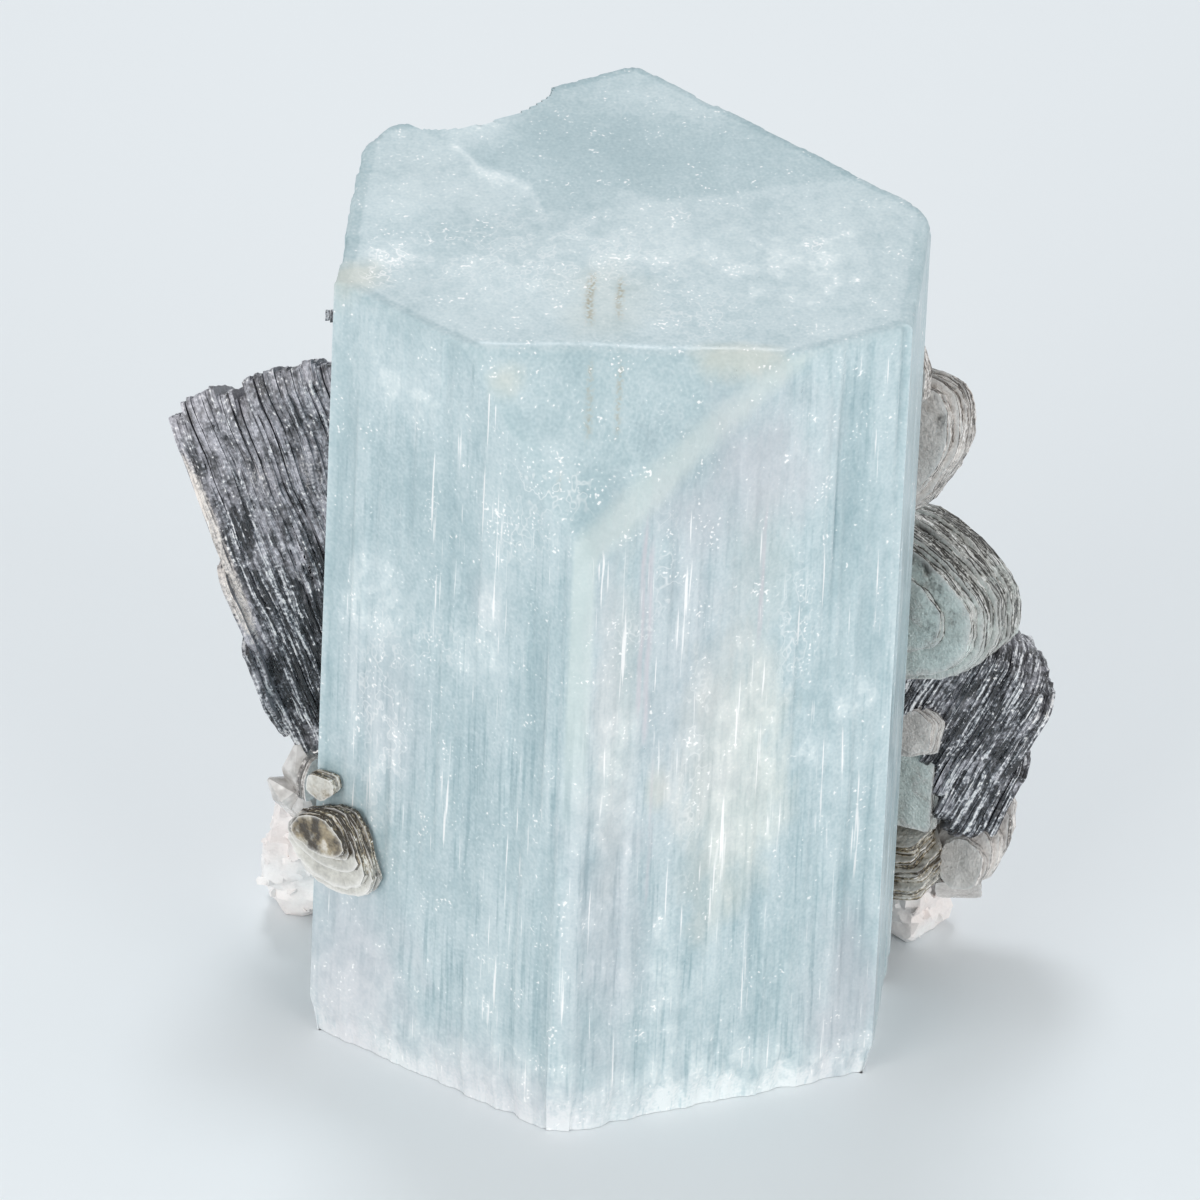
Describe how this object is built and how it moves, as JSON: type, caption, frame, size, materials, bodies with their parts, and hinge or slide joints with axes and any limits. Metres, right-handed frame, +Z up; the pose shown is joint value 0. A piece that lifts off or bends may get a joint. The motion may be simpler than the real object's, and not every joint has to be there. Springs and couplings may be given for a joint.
{
  "type": "aquamarine crystal specimen",
  "caption": "Natural specimen: a stout, pale blue six-sided beryl prism with a sloping flat top, standing on its broken foot with books of mica down both sides and white albite behind.",
  "frame": {"origin": "where the crystal's long axis meets the flat it stands on", "axes": "+Z up along the crystal; the edge between its two showiest faces points to -Y, the large mica books are at -X and +X, the albite at +Y"},
  "size_m": [0.0717, 0.0563, 0.0749],
  "materials": {
    "aquamarine": "milky, part clear natural beryl",
    "albite": "white, sugary cleavage",
    "quartz": "clear, grey",
    "mica_dark": "pearly, edges of dark leaves",
    "mica_green": "pearly, green-grey leaves",
    "mica_brown": "pearly, brown leaves",
    "mica_silver": "pearly, silvery leaves"
  },
  "bodies": {
    "root": {"aquamarine_crystal": "aquamarine", "albite_matrix": "albite", "quartz_crystals_left": "quartz", "muscovite_book_left": "mica_dark", "muscovite_book_right_lower": "mica_dark", "muscovite_grain_left": "mica_dark", "muscovite_book_right_middle": "mica_green", "muscovite_plate_right": "mica_green", "muscovite_steps_right": "mica_brown", "muscovite_rosette_front": "mica_brown", "muscovite_flake_front": "mica_brown", "muscovite_book_right_upper": "mica_silver", "muscovite_leaf_right": "mica_silver", "muscovite_flake_right": "mica_silver", "muscovite_rosette_right": "mica_silver", "muscovite_tab_right": "mica_silver", "muscovite_blade_left": "mica_silver", "muscovite_book_back": "mica_silver"}
  },
  "joints": []
}
